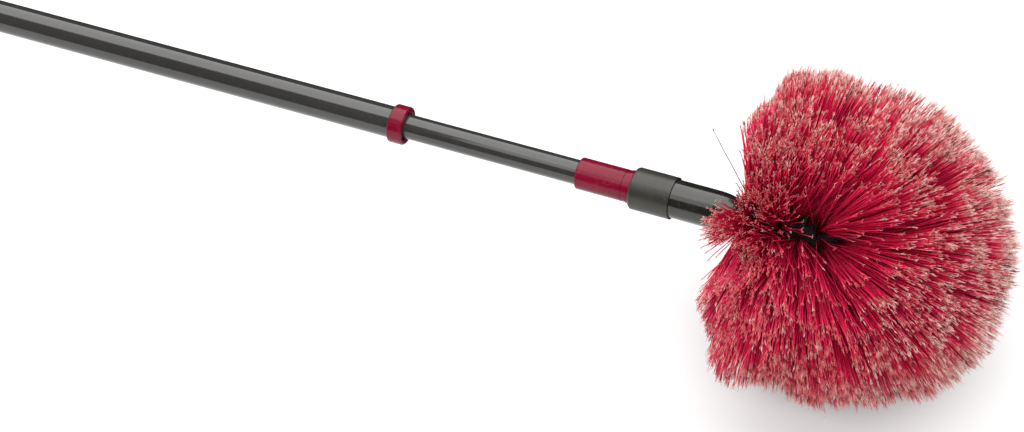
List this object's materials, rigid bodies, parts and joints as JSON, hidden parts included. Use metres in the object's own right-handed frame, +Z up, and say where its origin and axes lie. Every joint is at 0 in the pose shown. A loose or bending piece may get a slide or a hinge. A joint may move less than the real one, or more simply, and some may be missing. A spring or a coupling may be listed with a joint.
{
  "type": "cobweb brush",
  "caption": "Round bristle head on a twist-lock telescopic pole, for sweeping cobwebs from ceilings and corners.",
  "frame": {"origin": "middle of the footprint on the floor that the brush lies on", "axes": "+X along the floor towards the head, the pole rising 5.48 degrees from the grip end; +Z up"},
  "size_m": [1.3178, 0.2478, 0.2478],
  "materials": {
    "pole_paint": "gloss",
    "crimson_plastic": "satin",
    "black_plastic": "satin",
    "nylon": "satin",
    "steel": "satin",
    "sleeve_plastic": "matte",
    "neck_plastic": "gloss",
    "bristle": "satin"
  },
  "bodies": {
    "outer_pole": {"outer_tube": "pole_paint", "hang_cap": "black_plastic", "end_collar": "crimson_plastic", "guide_bush": "black_plastic"},
    "lock_ring": {"lock_ring": "nylon"},
    "inner_pole": {"inner_tube": "pole_paint", "cam_plug": "nylon", "plug_pin": "steel", "retainer_disc": "steel", "retainer_screw": "steel", "ferrule": "crimson_plastic"},
    "thread_washer": {"thread_washer": "crimson_plastic"},
    "brush_head": {"socket_sleeve": "sleeve_plastic", "neck": "neck_plastic", "stem_bolt": "steel", "stem_washer": "steel", "stem_nut": "steel", "tuft_ring_1": "bristle", "tuft_ring_2": "bristle", "tuft_ring_3": "bristle", "tuft_ring_4": "bristle", "tuft_ring_5": "bristle", "tuft_ring_6": "bristle", "tuft_ring_7": "bristle", "tuft_ring_8": "bristle"}
  },
  "joints": [
    {"name": "telescope", "type": "slide", "parent": "outer_pole", "child": "lock_ring", "axis": [0.9954, 0, 0.0954], "range_m": [-0.143, 0.5533]},
    {"name": "twist_lock", "type": "hinge", "parent": "lock_ring", "child": "inner_pole", "pos_m": [-0.42094, 0, 0.03252], "axis": [0.9954, 0, 0.0954], "range_deg": [0, 180]},
    {"name": "head_travel", "type": "slide", "parent": "inner_pole", "child": "thread_washer", "axis": [0.9954, 0, 0.0954], "range_m": [0, 0.0201]},
    {"name": "head_unscrew", "type": "hinge", "parent": "thread_washer", "child": "brush_head", "pos_m": [0.3565, 0, 0.10705], "axis": [0.9954, 0, 0.0954], "range_deg": [0, 1440]}
  ],
  "couplings": [
    {"joint": "head_travel", "follows": "head_unscrew", "m_per_rad": 0.00079577}
  ]
}
